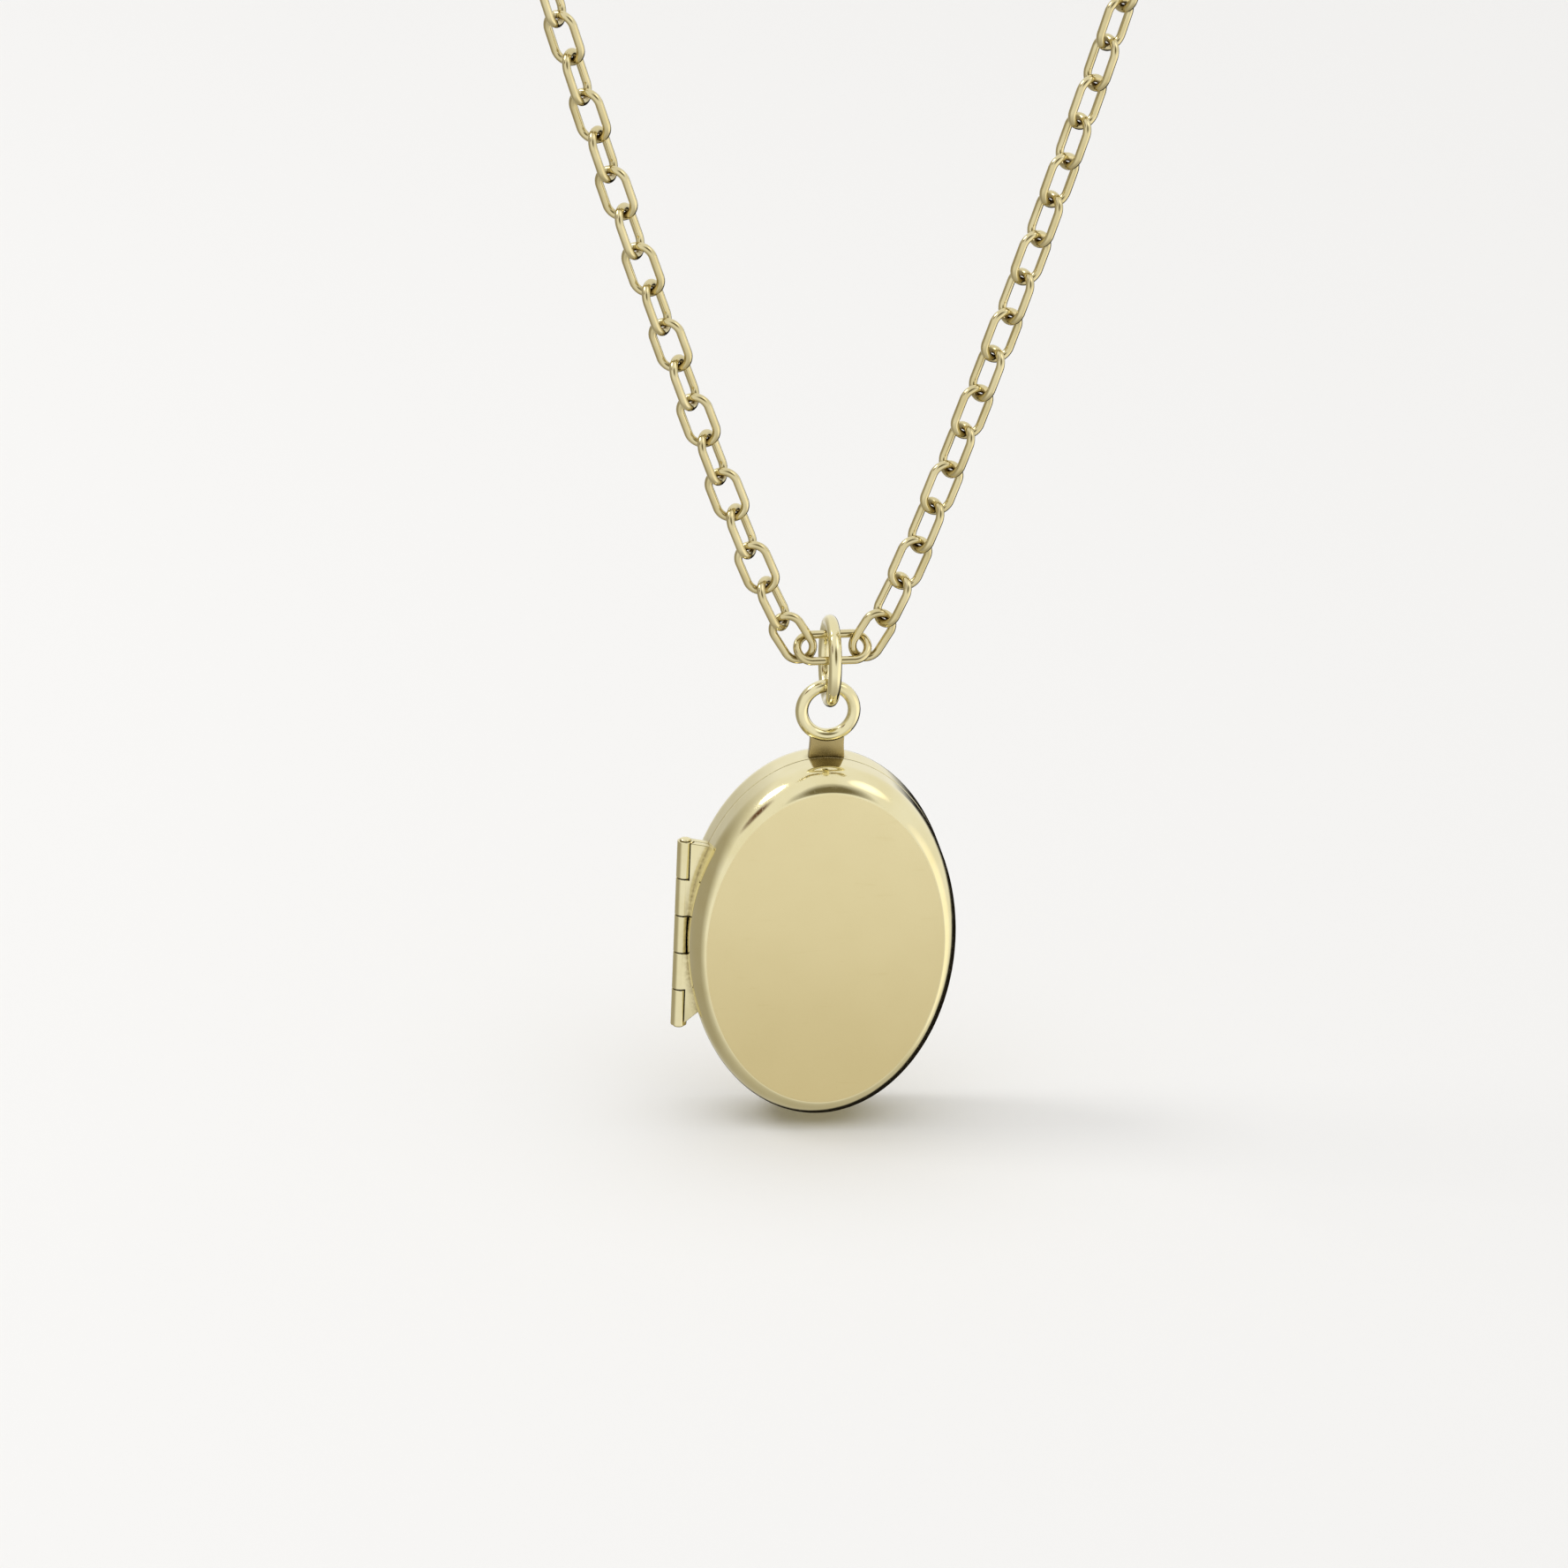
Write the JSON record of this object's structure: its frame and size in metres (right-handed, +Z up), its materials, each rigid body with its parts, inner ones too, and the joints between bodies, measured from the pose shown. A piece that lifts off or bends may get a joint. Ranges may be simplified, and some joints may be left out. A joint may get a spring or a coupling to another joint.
{
  "type": "locket",
  "caption": "Oval hinged photograph locket with a fixed ring and a jump ring, hanging from a fine oval-link chain that ends in a sprung ring clasp.",
  "frame": {"origin": "plumb above the locket, level with the middle of the chain's two small end rings, between the two ends that the wearer or a display hook holds", "axes": "+Z up along the hanging locket, -Y out of its flat front face, +X to the right as seen from the front, so the hinge is at -X"},
  "size_m": [0.035, 0.005, 0.0669],
  "materials": {
    "polished_gold": "polished pale yellow gold, with fine handling marks",
    "satin_gold": "pale yellow gold, satin on the flat face and polished on the rounded rim",
    "chain_gold": "polished round gold wire, darker where the links hook",
    "window": "thin clear plastic sheet",
    "card": "blank matt card",
    "spring_steel": "drawn spring wire"
  },
  "bodies": {
    "chain": {"centre_link": "chain_gold", "left_chain": "chain_gold", "right_chain": "chain_gold", "left_end_ring": "chain_gold", "right_end_ring": "chain_gold", "clasp_eye": "chain_gold", "clasp_body": "chain_gold", "clasp_spring": "spring_steel"},
    "jump_ring": {"jump_ring": "polished_gold"},
    "locket_back": {"back_shell": "satin_gold", "back_bearer": "polished_gold", "back_knuckles": "polished_gold", "hinge_pin": "polished_gold", "catch_rim": "polished_gold", "back_lining": "polished_gold", "back_card": "card", "back_window": "window", "back_frame": "polished_gold", "ring_foot": "polished_gold", "fixed_ring": "polished_gold"},
    "front_cover": {"front_shell": "satin_gold", "front_bearer": "polished_gold", "front_knuckles": "polished_gold", "front_lining": "polished_gold", "front_card": "card", "front_window": "window", "front_frame": "polished_gold"},
    "clasp_bolt": {"clasp_bolt": "chain_gold"}
  },
  "joints": [
    {"name": "jump_ring_swing", "type": "hinge", "parent": "chain", "child": "jump_ring", "pos_m": [0, 0.00033, -0.036], "axis": [1, 0, 0], "range_deg": [-60, 12]},
    {"name": "locket_swing", "type": "hinge", "parent": "jump_ring", "child": "locket_back", "pos_m": [0, 0.00033, -0.03928], "axis": [0, 1, 0], "range_deg": [-40, 40]},
    {"name": "cover_hinge", "type": "hinge", "parent": "locket_back", "child": "front_cover", "pos_m": [-0.0067, 0, -0.0512], "axis": [0, 0, -1], "range_deg": [0, 170]},
    {"name": "clasp_bolt_slide", "type": "hinge", "parent": "chain", "child": "clasp_bolt", "pos_m": [-0.01733, -0.00016, 0.00412], "axis": [0, -1, 0], "range_deg": [0, 46], "stiffness_Nm_per_rad": 0.001, "springref_deg": -17.19, "deforming": ["clasp_spring"]}
  ]
}
